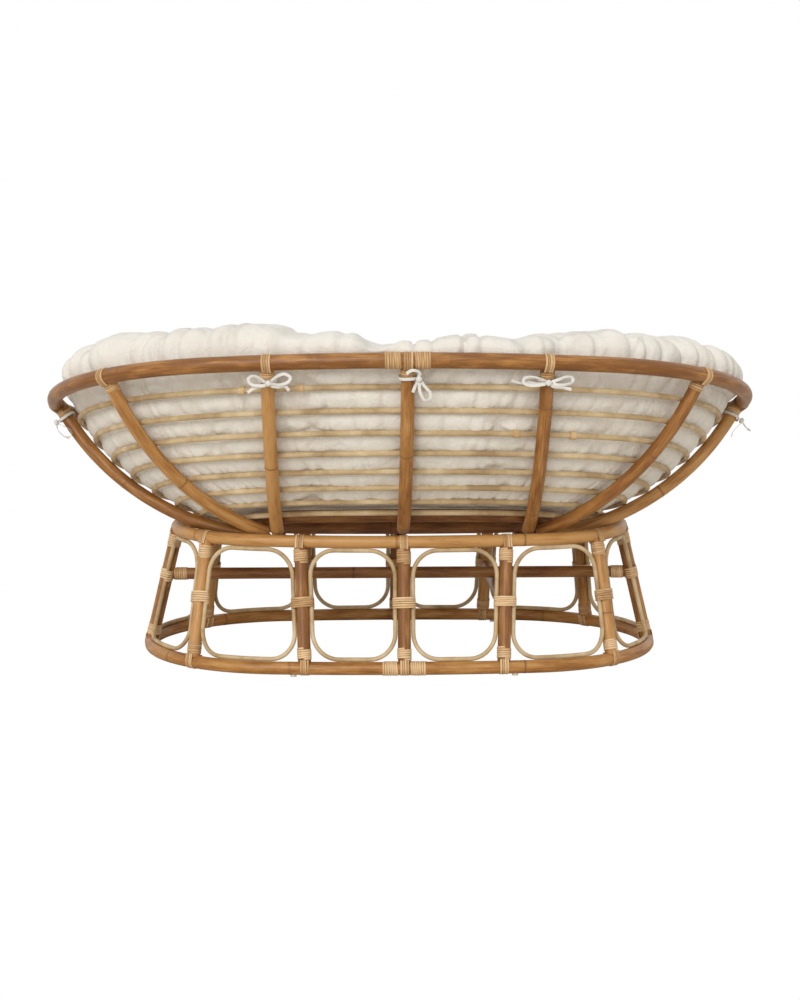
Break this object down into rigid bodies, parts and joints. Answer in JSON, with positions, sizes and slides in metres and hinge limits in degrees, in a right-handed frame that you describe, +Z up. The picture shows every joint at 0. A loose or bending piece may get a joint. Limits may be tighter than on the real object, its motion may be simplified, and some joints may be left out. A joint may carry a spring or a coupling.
{
  "type": "double papasan chair",
  "caption": "Wide oval rattan bowl seat with a deep tufted cushion, tied at its rim, resting tilted in a low oval rattan stand with looped panels.",
  "frame": {"origin": "on the floor, under the middle of the rim", "axes": "+Z up, -Y towards the seat's front, +X towards the sitter's left, along the length"},
  "size_m": [1.6635, 1.0825, 0.7919],
  "materials": {
    "cane": "stained rattan, satin",
    "dark_cane": "dark stained rattan, satin",
    "thin_cane": "pale cane, satin",
    "peel": "rattan peel, satin",
    "cloth": "cotton",
    "plastic": "moulded"
  },
  "bodies": {
    "stand": {"cross_stretcher_left": "dark_cane", "cross_stretcher_right": "dark_cane", "glide_feet": "plastic", "long_stretcher": "dark_cane", "panel_loops_back": "thin_cane", "panel_loops_end_left": "thin_cane", "panel_loops_end_right": "thin_cane", "panel_loops_front": "thin_cane", "post_back_left": "cane", "post_back_left_corner": "cane", "post_back_middle": "cane", "post_back_right": "cane", "post_back_right_corner": "cane", "post_end_left": "cane", "post_end_right": "cane", "post_foot_bindings": "peel", "post_front_left": "cane", "post_front_left_corner": "cane", "post_front_middle": "cane", "post_front_right": "cane", "post_front_right_corner": "cane", "post_middle_bindings": "peel", "post_top_bindings": "peel", "stand_bottom_ring": "cane", "stand_splice_windings": "peel", "stand_top_ring": "cane", "stretcher_end_windings": "peel"},
    "bowl": {"bowl_bottom_ring": "dark_cane", "bowl_rim": "cane", "cushion": "cloth", "rib_back_left": "cane", "rib_back_left_corner": "cane", "rib_back_middle": "cane", "rib_back_right": "cane", "rib_back_right_corner": "cane", "rib_end_left": "cane", "rib_end_right": "cane", "rib_front_left": "cane", "rib_front_left_corner": "cane", "rib_front_middle": "cane", "rib_front_right": "cane", "rib_front_right_corner": "cane", "rim_bindings": "peel", "rim_splice_windings": "peel", "seat_ring_1": "thin_cane", "seat_ring_2": "thin_cane", "seat_ring_3": "thin_cane", "seat_ring_4": "thin_cane", "seat_ring_5": "thin_cane", "seat_ring_6": "thin_cane", "seat_ring_7": "thin_cane", "seat_ring_8": "thin_cane", "seat_ring_lap_wraps": "peel", "tie_back_left": "cloth", "tie_back_middle": "cloth", "tie_back_right": "cloth", "tie_end_left": "cloth", "tie_end_right": "cloth"}
  },
  "joints": [
    {"name": "bowl_tilt", "type": "hinge", "parent": "stand", "child": "bowl", "pos_m": [0, -0.06466, 0.8586], "axis": [1, 0, 0], "range_deg": [-11, 3]}
  ]
}
